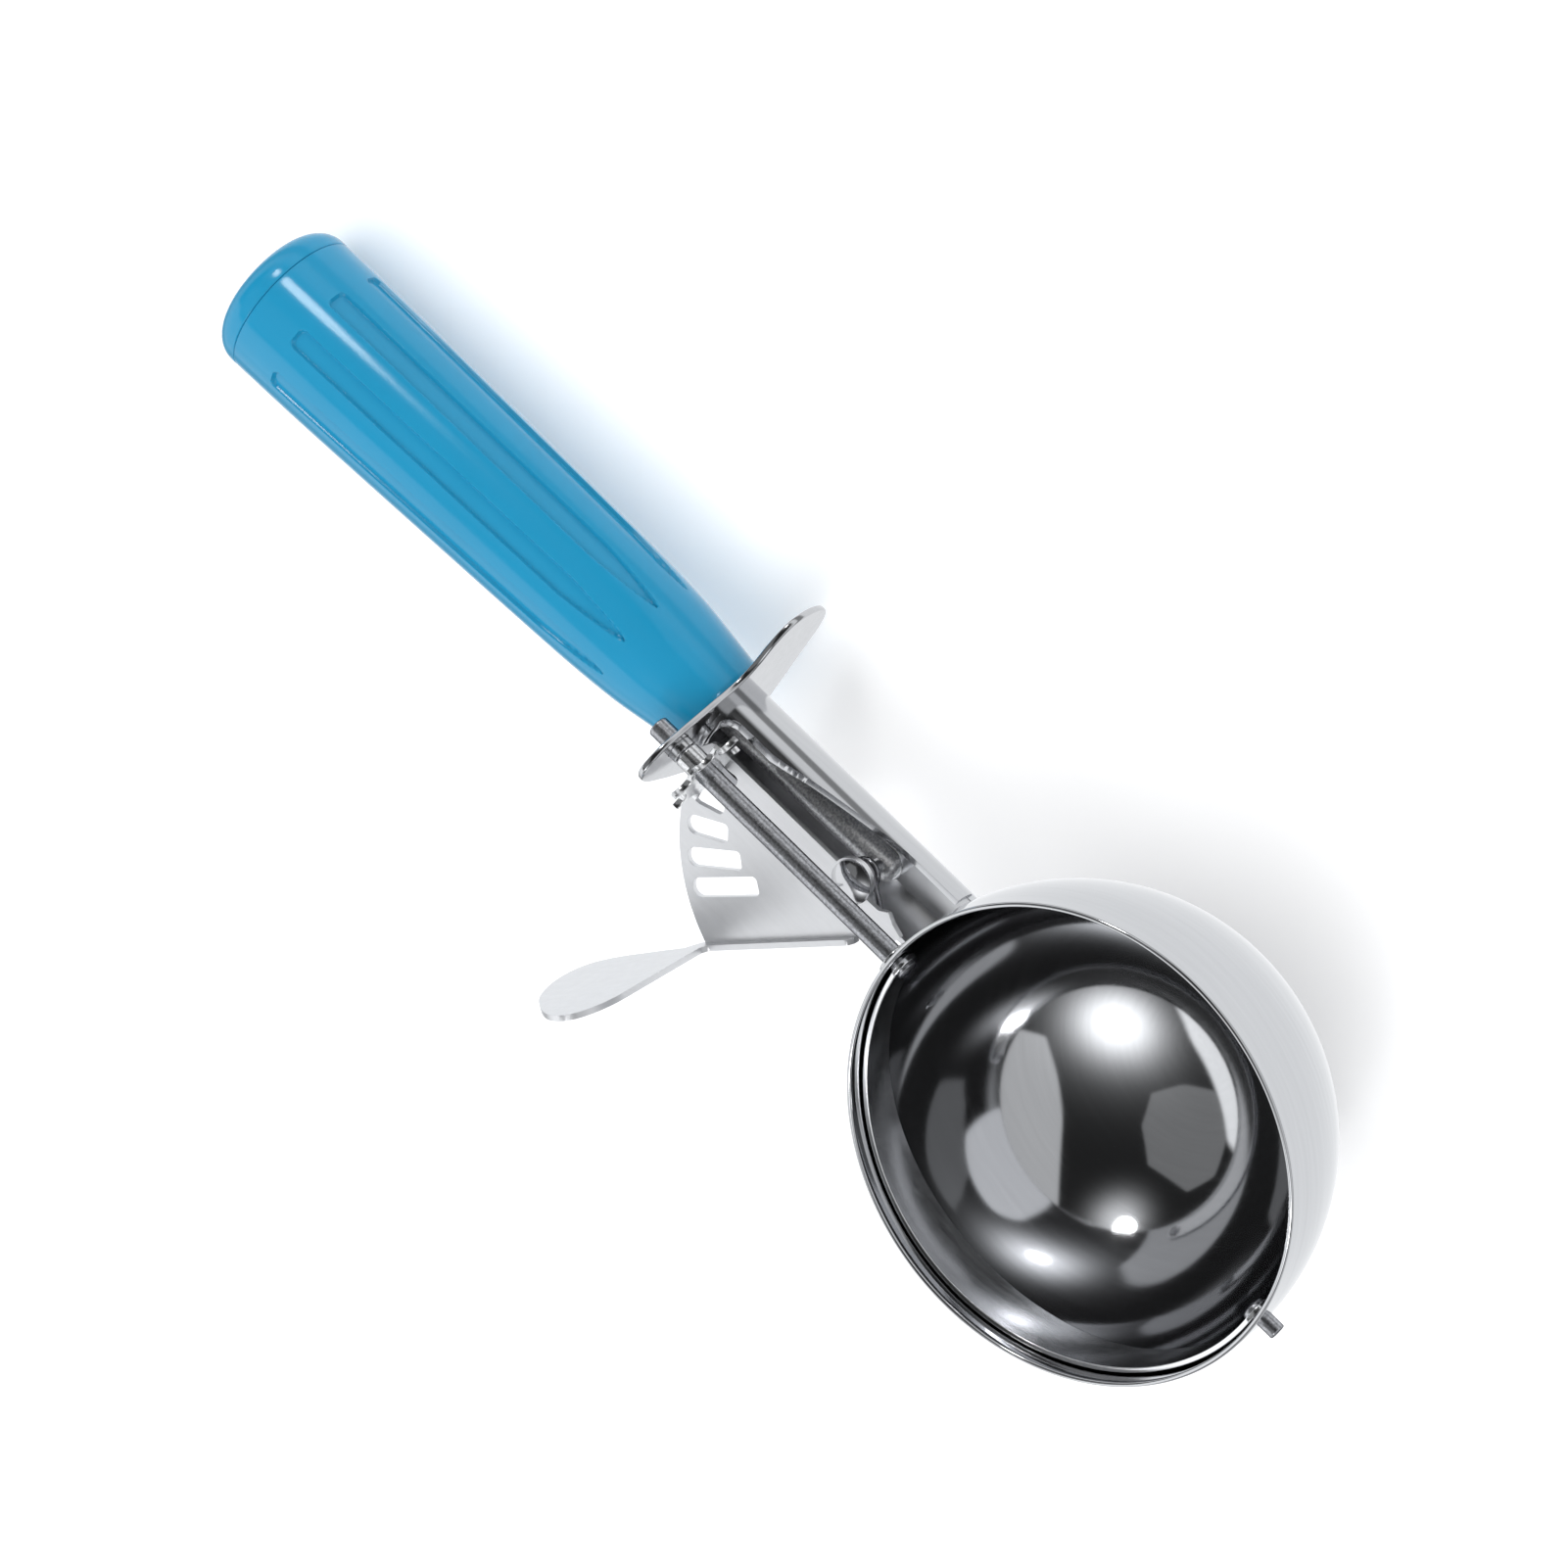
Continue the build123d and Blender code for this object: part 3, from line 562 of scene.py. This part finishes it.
# ---------------------------------------------------------------- thumb lever
def lever():
    ed = Vector((cos(radians(48.7)), sin(radians(48.7))))
    corner = Vector((PIVOT_X + SECTOR_R * cos(radians(64.5)), SECTOR_R * sin(radians(64.5))))
    lobe = corner - ed * 33.0
    pts = []
    for k in range(0, 61):
        a = radians(3.0 + (64.5 - 3.0) * k / 60)
        pts.append((PIVOT_X + SECTOR_R * cos(a), SECTOR_R * sin(a)))
    pts.append(tuple(lobe))
    # tail: arc through (48.5, 5.0)
    tail = smooth_open([tuple(lobe), (48.9, 5.5), (47.2, 3.4), (46.4, 1.4)], 6)
    pts += [tuple(p) for p in tail[1:]]
    bump = smooth_open([(48.8, 0.5), (49.6, -0.05), (50.6, -0.6), (51.6, -0.05), (52.4, 0.5)], 5)
    pts += [tuple(p) for p in bump]
    # round of the eye
    c = Vector((PIVOT_X + 0.25, -0.15))
    a0, a1 = atan2(0.5 - c.y, -sqrt(4.1 ** 2 - (0.5 - c.y) ** 2)), atan2(-0.9 - c.y, sqrt(4.1 ** 2 - (-0.9 - c.y) ** 2))
    if a1 < a0:
        a1 += 2 * pi
    for k in range(25):
        t = a0 + (a1 - a0) * k / 24
        pts.append((c.x + 4.1 * cos(t), c.y + 4.1 * sin(t)))
    pts.append((92.2, -0.9))
    pts.append((93.6, -0.4))
    holes = [[(PIVOT_X + 2.72 * cos(2 * pi * k / 64), 2.72 * sin(2 * pi * k / 64)) for k in range(64)]]
    for n, r0, r1, twist in [(0, 26.9, 33.9, 0.0), (1, 27.4, 34.2, 2.5), (2, 25.8, 34.4, 3.5), (3, 23.0, 34.4, 3.5), (4, 20.2, 34.4, -1.2)]:
        a = radians(6.2 + 10.5 * n)
        rm, hl = (r0 + r1) / 2, (r1 - r0) / 2
        cx, cy = PIVOT_X + rm * cos(a), rm * sin(a)
        t = a + radians(twist)
        sl = rounded([(-hl, -1.8, 0.95), (hl, -1.8, 1.75), (hl, 1.8, 1.75), (-hl, 1.8, 0.95)], steps=8)
        holes.append([(cx + p[0] * cos(t) - p[1] * sin(t), cy + p[0] * sin(t) + p[1] * cos(t)) for p in sl])
    flat = plate([pts] + holes, PLATE_T, 0.02, 0)
    flat.transform(Matrix.Translation((0, 0, PLATE_TOP - PLATE_T / 2)))
    # upright sheet: folded edge and thumb tab
    tab_pts = [(-0.7, 20.0), (-0.7, 12.0), (-0.7, 2.6, 0.8), (-1.5, 1.5, 0.8), (-31.6, 1.5, 0.8), (-32.6, 0.5, 0.8), (-32.6, -PLATE_T, 0.3),
               (-0.4, -PLATE_T, 0.9), (1.2, -0.2, 1.5)]
    tab_pts = [tuple(p) for p in rounded(tab_pts, 0, closed=False, steps=6)]
    leaf = smooth_open([(3.0, 2.3), (6.2, 3.1), (9.5, 4.0), (15.6, 6.0), (19.5, 9.0), (20.9, 13.6), (20.3, 19.5), (17.6, 26.0), (13.0, 31.6), (8.6, 35.2),
                        (4.6, 36.0), (1.4, 33.6), (-0.4, 28.0), (-0.7, 20.0)], 8)
    tab_pts = tab_pts + [tuple(p) for p in leaf[:-1]]
    upright = plate([tab_pts], PLATE_T, 0.02, 0)
    m = Matrix(((ed.x, 0, ed.y, corner.x), (ed.y, 0, -ed.x, corner.y), (0, 1, 0, PLATE_TOP), (0, 0, 0, 1)))
    upright.transform(Matrix.Translation((0, 0, -PLATE_T / 2)))
    upright.transform(m)
    both = applied(flat, ("BOOLEAN", {"operation": "UNION", "solver": "EXACT", "object": upright}))
    bm = bmesh.new()
    bm.from_mesh(both)
    bmesh.ops.remove_doubles(bm, verts=bm.verts, dist=0.01)
    bmesh.ops.dissolve_limit(bm, angle_limit=radians(1.0), verts=bm.verts, edges=bm.edges)
    bm.to_mesh(both)
    bm.free()
    me = applied(both, ("BEVEL", {"width": 0.26, "segments": 3, "limit_method": "ANGLE", "angle_limit": radians(40), "use_clamp_overlap": True, "harden_normals": False}))
    return piece("lever_stamping", me, "lever", M_LEVER, ["thumb_lever"], angle=38)


lever()

# ---------------------------------------------------------------- lever bush, rivet, spring
UPRIGHT = Matrix.Translation((PIVOT_X, 0, 0)) @ Matrix.Rotation(-pi / 2, 4, "Y")
ring("lever_eye_bush", [(-8.1, 1.95), (-8.1, 3.4, 0.2), (-7.6, 3.4, 0.1), (-7.6, 2.7), (-6.5, 2.7, 0.1), (-6.5, 1.95)],
     "lever", M_BUSH, "bush_steel", "lever_bush", UPRIGHT)


def rivet():
    prof = [(-22.75, 0), (-22.7, 1.3, 1.2), (-22.3, 2.55, 0.5), (-21.6, 2.9, 0.15), (-21.6, 1.5), (-8.65, 1.5), (-8.65, 2.9, 0.15), (-8.15, 2.9, 0.15), (-8.15, 1.9),
            (-6.4, 1.9), (-6.4, 3.95, 0.12), (-6.15, 3.98, 0.12)]
    prof = [tuple(p) for p in rounded(prof, 0, closed=False)]
    for k in range(1, 25):
        a = 0.62 * (1 - k / 24)
        prof.append((-4.85 - 6.75 * (1 - cos(a)), 6.75 * sin(a)))
    me = lathe(prof, 96, UPRIGHT, closed=False)
    return piece("pivot_rivet", me, "root", M_RIVET, ["lever_rivet"])


rivet()


def spring():
    pitch, r, top, turns = 1.4, 2.5, -9.35, 1.3625
    low = top - turns * pitch
    pts = [Vector((PIVOT_X + r, y, low)) for y in (6.0, 4.5, 3.0, 1.5)]
    n = 90
    for k in range(n + 1):
        t = -2 * pi * turns * k / n
        pts.append(Vector((PIVOT_X + r * cos(t), r * sin(t), low + turns * pitch * k / n)))
    b0 = pts[-1]
    bx, by = cos(radians(139.5)), sin(radians(139.5))
    for d, dz in ((1.4, 0), (2.8, 0), (3.8, 0.02), (4.6, 0.08), (5.6, 0.22), (6.5, 0.34), (7.4, 0.45)):
        pts.append(Vector((b0.x + d * bx, b0.y + d * by, b0.z + dz)))
    me = wire(pts, 0.6, 5)
    return piece("torsion_spring", me, "root", M_SPRING, ["return_spring"])


spring()


# ---------------------------------------------------------------- shank
def shank():
    def ring(r, flat):
        """The tube's outline with its flat underside, as (y, z)."""
        a0 = asin((flat - SHANK_Z) / r)
        pts = [(r * cos(a0 + (pi - 2 * a0) * k / 120), SHANK_Z + r * sin(a0 + (pi - 2 * a0) * k / 120)) for k in range(121)]
        ye = r * cos(a0)
        return pts + [(-ye + 2 * ye * k / 8, flat) for k in range(1, 8)]

    def prism(rings, x0, x1):
        verts, faces, n = [], [], len(rings[0])
        for pts in rings:
            for x in (x0, x1):
                verts += [(x, y, z) for y, z in pts]
        for i in range(n):
            j = (i + 1) % n
            faces.append((i, j, n + j, n + i))
            faces.append((2 * n + j, 2 * n + i, 3 * n + i, 3 * n + j))
            faces.append((j, i, 2 * n + i, 2 * n + j))
            faces.append((n + i, n + j, 3 * n + j, 3 * n + i))
        return tidy(mesh_from("tube", verts, faces))

    tube = prism([ring(SHANK_R, SHANK_FLAT), ring(SHANK_R - SHANK_T, SHANK_FLAT + SHANK_T)], 36.0, GUARD_X)
    # the slot: rounded near the guard, its lips falling away towards the bowl
    lip = [(SLOT_END, 0), (SLOT_END, -6.0)]
    lip += [tuple(p) for p in smooth_open([(SLOT_END, -7.6), (SLOT_END - 0.12, -8.15), (94.35, -8.75), (93.3, -9.25), (91.9, -9.5)], 5)]
    lip += [tuple(p) for p in smooth_open([(84, -9.5), (80, -10.02), (76, -10.7), (68, -11.85), (60, -12.95), (57, -13.27), (54, -13.4)], 6)]
    lip += [(48, -13.4), (43.6, -13.4), (43.6, -18.0), (30, -18.0), (30, 0)]
    n = len(lip)
    slot = tidy(mesh_from("slot", [(x, y, z) for y in (-20, 20) for x, z in lip],
                          [tuple(range(n)), tuple(reversed(range(n, 2 * n)))] + [(i, (i + 1) % n, n + (i + 1) % n, n + i) for i in range(n)]))
    ball = lathe([(43.12 * sin(-pi / 2 + pi * k / 90), 43.12 * cos(-pi / 2 + pi * k / 90)) for k in range(91)], 180, closed=False)
    me = applied(tube, ("BOOLEAN", {"operation": "DIFFERENCE", "solver": "EXACT", "object": slot}))
    me = applied(me, ("BOOLEAN", {"operation": "DIFFERENCE", "solver": "EXACT", "object": ball}))
    bm = bmesh.new()
    bm.from_mesh(me)
    bmesh.ops.remove_doubles(bm, verts=bm.verts, dist=0.01)
    bm.to_mesh(me)
    bm.free()
    me = applied(me, ("BEVEL", {"width": 0.2, "segments": 3, "limit_method": "ANGLE", "angle_limit": radians(32), "use_clamp_overlap": True}))
    # the inside of the pressing is duller than the polished outside, and its steel is painted lighter: painted light
    # for the channel's shaded inside
    inner = [int(hypot(f.center.y, f.center.z - SHANK_Z) < SHANK_R - SHANK_T + 0.06) for f in me.polygons]
    ob = piece("shank_channel", me, "root", M_SHEET, ["shank"], angle=38)
    ob.data.materials.append(M_INNER_PAINTED_LIGHT)
    ob.data.polygons.foreach_set("material_index", inner)
    return ob


shank()


# ---------------------------------------------------------------- tang rod and guard
def tang():
    prof = [(-41.0, 0), (-41.0, TANG_R, 1.6), (107.0, TANG_R, 0.4), (107.0, 0)]
    pts = [tuple(p) for p in rounded(prof, 0, closed=False, steps=12)]
    me = lathe(pts, 72, HANDLE_AX, closed=False)
    return piece("tang_bar", me, "root", M_TANG_PAINTED_LIGHT, ["tang_rod"])


tang()


def pocket():
    """The saddle that holds the rod up to its middle, round nosed."""
    x0, x1, r = 58.9 - HANDLE_X, 90.0 - HANDLE_X, 3.4
    pts = [(x0 + r * cos(radians(90 + 180 * k / 40)), r * sin(radians(90 + 180 * k / 40))) for k in range(41)]
    pts += [(x1, -r), (x1, r)]
    me = plate([pts], 4.4, 0.28, 4)
    me.transform(HANDLE_AX @ Matrix.Translation((0, 0, -2.2)))
    # its steel is painted lighter: painted light for the channel's shade
    return piece("tang_pocket", me, "root", M_POCKET_PAINTED_LIGHT, ["tang_saddle"])


pocket()


def guard():
    pts = [(10.9, -8.0), (12.0, -14.5), (9.4, -22.4), (3.2, -26.3), (-3.8, -27.2), (-11.5, -28.0), (-18.4, -28.6),
           (-22.8, -26.9), (-24.6, -22.0), (-23.6, -16.6), (-19.8, -13.6), (-15.0, -12.0), (-11.4, -9.6),
           (-8.2, -4.6), (-4.6, 1.2), (-1.2, 6.0), (3.2, 8.0), (6.8, 5.2), (9.2, -1.5)]
    outline = smooth_closed(pts, 10)
    hole = [(2.46 * cos(2 * pi * k / 48), 2.46 * sin(2 * pi * k / 48)) for k in range(48)]
    hole2 = [((TANG_R + 0.1) * cos(2 * pi * k / 48), HANDLE_Z + (TANG_R + 0.1) * sin(2 * pi * k / 48)) for k in range(48)]
    me = plate([outline, hole, hole2], GUARD_T, 0.4, 4)
    me.transform(Matrix(((0, 0, 1, GUARD_X + GUARD_T / 2), (1, 0, 0, 0), (0, 1, 0, 0), (0, 0, 0, 1))))
    return piece("finger_guard", me, "root", M_SHEET, ["guard_plate"])


guard()


# ---------------------------------------------------------------- handle
def catmull(keys, x):
    if x <= keys[0][0]:
        return keys[0][1]
    for i in range(len(keys) - 1):
        if keys[i][0] <= x <= keys[i + 1][0]:
            x0, y0 = keys[i]
            x1, y1 = keys[i + 1]
            xa, ya = keys[i - 1] if i else (2 * x0 - x1, 2 * y0 - y1)
            xb, yb = keys[i + 2] if i + 2 < len(keys) else (2 * x1 - x0, 2 * y1 - y0)
            m0, m1 = (y1 - ya) / (x1 - xa), (yb - y0) / (xb - x0)
            h, t = x1 - x0, (x - x0) / (x1 - x0)
            return (2 * t ** 3 - 3 * t ** 2 + 1) * y0 + (t ** 3 - 2 * t ** 2 + t) * h * m0 + (-2 * t ** 3 + 3 * t ** 2) * y1 + (t ** 3 - t ** 2) * h * m1
    return keys[-1][1]


def grip():
    keys = [(-0.8, 9.25), (4.0, 9.95), (9.2, 10.75), (16.5, 11.75), (27.3, 12.5), (42, 13.0), (53, 13.3), (93, 14.3), (SEAM, HANDLE_R)]

    def sstep(t):
        t = max(0.0, min(1.0, t))
        return t * t * (3 - 2 * t)

    def flute(x, s):
        """Depth of the nearest flute, s in mm from its middle line."""
        w = 2.0
        x_end, x_tip = 100.1, 19.5
        if x < 34:
            w = 2.0 * sqrt(max(0.0, min(1.0, (x - x_tip) / (34 - x_tip)))) ** 1.15
        dx = x_end - x
        r = 1.3
        side = w - abs(s)
        if dx < r and side < r:
            d = r - hypot(r - dx, r - side)
        else:
            d = min(side, dx)
        if x < x_tip:
            d = -1
        edge = 0.38
        return 0.74 * sstep((d + 0.08) / edge)

    # denser near the flute's edges
    sector = []
    for t in (-20, -17.5, -15, -12.8, -11.4, -10.4, -9.8, -9.3, -9.0, -8.75, -8.5, -8.25, -8.0, -7.75, -7.5, -7.25, -7.0, -6.75, -6.5, -6.0, -5.2, -4.2, -3.0, -1.5, 0,
              1.5, 3.0, 4.2, 5.2, 6.0, 6.5, 6.75, 7.0, 7.25, 7.5, 7.75, 8.0, 8.25, 8.5, 8.75, 9.0, 9.3, 9.8, 10.4, 11.4, 12.8, 15, 17.5):
        sector.append(t)
    angs = []
    for k in range(9):
        for t in sector:
            angs.append((273.5 + 40 * k + t, t))
    xs = []
    x = 0.0
    while x < SEAM - 0.01:
        xs.append(x)
        if x < 17.5:
            x += 1.0
        elif x < 34:
            x += 0.45
        elif x < 97.5:
            x += 1.25
        elif x < 101:
            x += 0.2
        else:
            x += 1.0
    xs = [q for q in xs if q < SEAM - 0.35] + [SEAM - 0.3, SEAM - 0.22, SEAM - 0.12]
    verts, faces = [], []
    ridges = []
    for x in xs:
        R = catmull(keys, x)
        ring = []
        drop = 0.0
        if x > SEAM - 0.3:
            drop = 0.3 - sqrt(max(0.09 - (x - SEAM + 0.3) ** 2, 0))
        if x < 0.9:
            drop = 0.9 - sqrt(max(0.81 - (0.9 - x) ** 2, 0))
        for a, t in angs:
            s = radians(t) * R
            r = R - flute(x, s) - drop
            ring.append(len(verts))
            # angle measured from working +Y towards +Z, about the handle's axis
            verts.append(HANDLE_AX @ Vector((x, r * cos(radians(a)), r * sin(radians(a)))))
        ridges.append(ring)
    # end face at the seam and the bore, then the front face
    def circle(x, r):
        ring = []
        for a, t in angs:
            ring.append(len(verts))
            verts.append(HANDLE_AX @ Vector((x, r * cos(radians(a)), r * sin(radians(a)))))
        return ring
    ridges.append(circle(SEAM - 0.02, HANDLE_R - 0.32))
    ridges.append(circle(SEAM - 0.02, 6.5))
    ridges.append(circle(101.5, 6.5))
    ridges.append(circle(101.5, TANG_R + 0.05))
    ridges.append(circle(0.0, TANG_R + 0.05))
    ridges.append(circle(0.0, 8.2))
    k = len(angs)
    for a, b in zip(ridges, ridges[1:] + ridges[:1]):
        for i in range(k):
            j = (i + 1) % k
            faces.append((a[i], b[i], b[j], a[j]))
    me = tidy(mesh_from("grip", verts, faces))
    return piece("fluted_grip", me, "root", M_HANDLE, ["handle_grip"], angle=45, weighted=False)


grip()


def end_cap():
    R = HANDLE_R
    prof = [(SEAM - 1.8, 0), (SEAM - 1.8, 6.45, 0.2), (SEAM, 6.45), (SEAM, R - 0.02, 0.28)]
    pts = [tuple(p) for p in rounded(prof + [(SEAM + 1.4, R)], 0, closed=False)]
    for k in range(1, 20):
        a = pi / 2 * k / 20
        pts.append((SEAM + 1.4 + 4.5 * sin(a) ** 1.0, R - 4.9 + 4.9 * cos(a)))
    pts += [(SEAM + 5.9, 9.55), (SEAM + 5.9, 8.6), (SEAM + 5.88, 5.0), (SEAM + 5.88, 0)]
    me = lathe(pts, 144, HANDLE_AX, closed=False)
    return piece("grip_end_cap", me, "root", M_HANDLE, ["handle_end_cap"], angle=45, weighted=False)


end_cap()

# nodes that keep their own shape get their finish
for node, mat in (("tang_washer", M_NUT), ("tang_nut", M_NUT)):
    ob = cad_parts[node]
    ob.data.materials.clear()
    ob.data.materials.append(mat)


# ---------------------------------------------------------------- floor and light
def toward(az, el):
    """A direction given in the working frame, in the row's frame."""
    d = Vector((cos(radians(el)) * cos(radians(az)), cos(radians(el)) * sin(radians(az)), sin(radians(el))))
    return (TURN.to_3x3() @ d).normalized()


class Sky:
    """The room as the steel sees it: soft boxes and glows placed by direction."""

    def __init__(self, nt):
        self.N, self.L = nt.nodes, nt.links
        self.dir = self.N.new("ShaderNodeTexCoord").outputs["Generated"]

    def math(self, op, a, b=None, clamp=False):
        m = self.N.new("ShaderNodeMath")
        m.operation = op
        m.use_clamp = clamp
        for i, v in enumerate((a, b)):
            if v is None:
                continue
            if isinstance(v, (int, float)):
                m.inputs[i].default_value = v
            else:
                self.L.new(v, m.inputs[i])
        return m.outputs[0]

    def dot(self, v):
        n = self.N.new("ShaderNodeVectorMath")
        n.operation = "DOT_PRODUCT"
        self.L.new(self.dir, n.inputs[0])
        n.inputs[1].default_value = tuple(v)
        return n.outputs["Value"]

    def ease(self, v, lo, hi):
        m = self.N.new("ShaderNodeMapRange")
        m.interpolation_type = "SMOOTHSTEP"
        self.L.new(v, m.inputs["Value"])
        m.inputs["From Min"].default_value, m.inputs["From Max"].default_value = lo, hi
        return m.outputs[0]

    def glow(self, az, el, sigma, peak):
        ang = self.math("ARCCOSINE", self.math("MINIMUM", self.dot(toward(az, el)), 0.99999))
        e = self.math("POWER", self.math("MULTIPLY", ang, 1 / radians(sigma)), 2.0)
        return self.math("MULTIPLY", self.math("EXPONENT", self.math("MULTIPLY", e, -0.5)), peak)

    def panel(self, corners, value, soft=1.2):
        """A straight-edged soft box with these corners (azimuth, elevation), anticlockwise as seen from outside."""
        ds = [toward(*c) for c in corners]
        mid = sum(ds, Vector()).normalized()
        out = None
        for i, d in enumerate(ds):
            n = d.cross(ds[(i + 1) % len(ds)]).normalized()
            if n.dot(mid) < 0:
                n = -n
            e = self.ease(self.dot(n), -radians(soft), radians(soft))
            out = e if out is None else self.math("MULTIPLY", out, e)
        return self.math("MULTIPLY", out, value)


def stage():
    me = bpy.data.meshes.new("floor")
    me.from_pydata([(-6, -6, 0), (6, -6, 0), (6, 6, 0), (-6, 6, 0)], [], [(0, 1, 2, 3)])
    ob = bpy.data.objects.new("floor", me)
    bpy.context.scene.collection.objects.link(ob)
    mat = bpy.data.materials.new("floor_paper")
    nt, bs = nodes_of(mat)
    bs.inputs["Base Color"].default_value = (0.95, 0.95, 0.955, 1)
    bs.inputs["Roughness"].default_value = 0.9
    bs.inputs["Specular IOR Level"].default_value = 0.0
    bs.inputs["Emission Color"].default_value = (1, 1, 1, 1)
    bs.inputs["Emission Strength"].default_value = 0.20
    me.materials.append(mat)
    # the steel sees the paper as the painted room below does
    ob.visible_glossy = False
    w = bpy.data.worlds.new("world")
    bpy.context.scene.world = w
    w.use_nodes = True
    nt = w.node_tree
    nt.nodes.clear()
    N, L = nt.nodes, nt.links
    out = N.new("ShaderNodeOutputWorld")
    seen = N.new("ShaderNodeBackground"); seen.inputs[0].default_value = (1, 1, 1, 1); seen.inputs[1].default_value = 1.0
    room = N.new("ShaderNodeBackground"); room.inputs[0].default_value = (0.97, 0.985, 1.0, 1)
    sky = Sky(nt)
    up = N.new("ShaderNodeSeparateXYZ"); L.new(sky.dir, up.inputs[0])
    base = sky.math("ADD", sky.math("MULTIPLY", sky.ease(up.outputs[2], sin(radians(21)), sin(radians(8))), 0.93), 0.022)
    parts = [
        sky.panel([(-178, 8), (-176, 40), (-150, 50), (-121, 49), (-92, 33), (-80, 20), (-78, 8)], 0.62),
        sky.panel([(20, 10), (22, 45), (50, 56), (86, 56), (104, 43), (108, 10)], 1.20, 2.0),
        sky.panel([(48, 56), (24, 46), (4, 40), (-15, 41), (-43, 56), (-56, 73), (0, 87), (53, 72)], 0.235, 0.8),
    ]
    # below the horizon: a dark edge beyond the pale paper
    gap = sky.math("MULTIPLY", sky.ease(up.outputs[2], sin(radians(-30)), sin(radians(-26))), sky.ease(up.outputs[2], sin(radians(-7)), sin(radians(-11))))
    base = sky.math("MULTIPLY", base, sky.math("SUBTRACT", 1.0, sky.math("MULTIPLY", gap, 0.66)))
    base = sky.math("ADD", base, sky.math("MULTIPLY", sky.ease(up.outputs[2], sin(radians(-24)), sin(radians(-34))), 0.12))
    total = base
    for p in parts:
        total = sky.math("MAXIMUM", total, p)
    for g in (sky.glow(146, 58, 11.0, 2.2), sky.glow(146, 58, 19.0, 0.35), sky.glow(-52, 29, 7.5, 1.0)):
        total = sky.math("ADD", total, g)
    L.new(total, room.inputs[1])
    lp = N.new("ShaderNodeLightPath"); mx = N.new("ShaderNodeMixShader")
    L.new(lp.outputs["Is Camera Ray"], mx.inputs[0]); L.new(room.outputs[0], mx.inputs[1]); L.new(seen.outputs[0], mx.inputs[2])
    L.new(mx.outputs[0], out.inputs[0])
    bpy.context.scene.view_settings.view_transform = "Standard"


stage()


def lamp(name, place, aim, size, radiance, shape="DISK", size_y=None, glossy=True):
    """An area light, its place and aim in the working frame's millimetres, its size in metres."""
    p, q = TO_REST @ Vector(place), TO_REST @ Vector(aim)
    data = bpy.data.lights.new(name, "AREA")
    data.shape = shape
    data.size = size
    area = pi * size * size / 4 if shape == "DISK" else size * size
    if size_y:
        data.size_y = size_y
        area = size * size_y
    data.energy = radiance * area * pi
    ob = bpy.data.objects.new(name, data)
    bpy.context.scene.collection.objects.link(ob)
    ob.rotation_mode = "QUATERNION"
    ob.rotation_quaternion = (p - q).to_track_quat("Z", "Y")
    ob.location = p
    ob.visible_camera = False
    ob.visible_glossy = glossy
    return ob


def at(az, el, dist):
    return tuple(Vector((cos(radians(el)) * cos(radians(az)), cos(radians(el)) * sin(radians(az)), sin(radians(el)))) * dist)


lamp("key_soft", at(146, 58, 1300), (0, 0, 0), 0.20, 10.0)
lamp("kicker", (345, -359, 235), (60, 0, 0), 0.095, 15.0)
lamp("fill", (60, 0, 1600), (60, 0, 0), 4.0, 1.12, shape="SQUARE", glossy=False)
